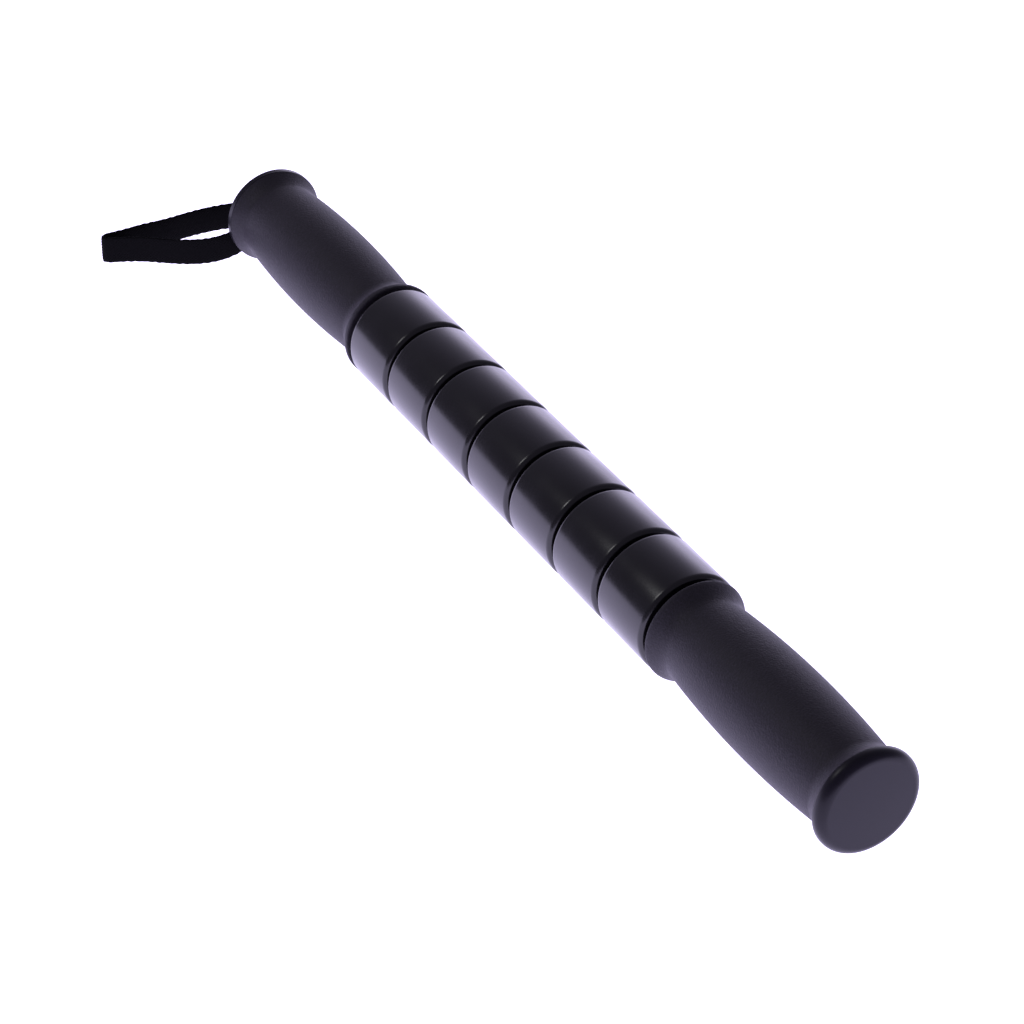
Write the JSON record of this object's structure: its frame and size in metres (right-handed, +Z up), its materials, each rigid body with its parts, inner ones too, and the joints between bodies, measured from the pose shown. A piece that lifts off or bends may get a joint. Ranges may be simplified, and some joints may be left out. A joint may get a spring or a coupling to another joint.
{
  "type": "muscle roller massage stick",
  "caption": "Hand-held massage stick: a row of free-spinning barrel rollers on a steel rod between two waisted foam grips, with flat end caps and a webbing wrist strap.",
  "frame": {"origin": "on the surface that the stick lies on, under its axis and the middle of the roller row, which is 1.1 mm from the middle of its length", "axes": "+X along the stick from the strapped end to the plain end, +Y across it, +Z up from the surface"},
  "size_m": [0.4773, 0.0848, 0.04],
  "materials": {
    "grip_foam": "matte closed-cell foam",
    "roller_plastic": "satin black",
    "cap_plastic": "satin dark slate",
    "core_plastic": "matte black",
    "bush_plastic": "natural acetal",
    "rod_steel": "bright drawn",
    "fixing_steel": "zinc plated",
    "webbing": "ribbed nylon webbing"
  },
  "bodies": {
    "stick": {"core_rod": "rod_steel", "spacer_washers": "bush_plastic", "end_washers": "fixing_steel", "lock_nuts": "fixing_steel", "plain_handle_core": "core_plastic", "strap_handle_core": "core_plastic", "plain_grip_foam": "grip_foam", "strap_grip_foam": "grip_foam", "plain_end_cap": "cap_plastic", "strap_end_cap": "cap_plastic", "strap_end_pad": "webbing", "wrist_strap": "webbing"},
    "roller_1": {"roller_1_shell": "roller_plastic", "roller_1_bushes": "bush_plastic"},
    "roller_2": {"roller_2_shell": "roller_plastic", "roller_2_bushes": "bush_plastic"},
    "roller_3": {"roller_3_shell": "roller_plastic", "roller_3_bushes": "bush_plastic"},
    "roller_4": {"roller_4_shell": "roller_plastic", "roller_4_bushes": "bush_plastic"},
    "roller_5": {"roller_5_shell": "roller_plastic", "roller_5_bushes": "bush_plastic"},
    "roller_6": {"roller_6_shell": "roller_plastic", "roller_6_bushes": "bush_plastic"},
    "roller_7": {"roller_7_shell": "roller_plastic", "roller_7_bushes": "bush_plastic"}
  },
  "joints": [
    {"name": "roller_1_spin", "type": "hinge", "parent": "stick", "child": "roller_1", "pos_m": [-0.096, 0, 0.02], "axis": [1, 0, 0], "continuous": true},
    {"name": "roller_2_spin", "type": "hinge", "parent": "stick", "child": "roller_2", "pos_m": [-0.064, 0, 0.02], "axis": [1, 0, 0], "continuous": true},
    {"name": "roller_3_spin", "type": "hinge", "parent": "stick", "child": "roller_3", "pos_m": [-0.032, 0, 0.02], "axis": [1, 0, 0], "continuous": true},
    {"name": "roller_4_spin", "type": "hinge", "parent": "stick", "child": "roller_4", "pos_m": [0, 0, 0.02], "axis": [1, 0, 0], "continuous": true},
    {"name": "roller_5_spin", "type": "hinge", "parent": "stick", "child": "roller_5", "pos_m": [0.032, 0, 0.02], "axis": [1, 0, 0], "continuous": true},
    {"name": "roller_6_spin", "type": "hinge", "parent": "stick", "child": "roller_6", "pos_m": [0.064, 0, 0.02], "axis": [1, 0, 0], "continuous": true},
    {"name": "roller_7_spin", "type": "hinge", "parent": "stick", "child": "roller_7", "pos_m": [0.096, 0, 0.02], "axis": [1, 0, 0], "continuous": true}
  ]
}
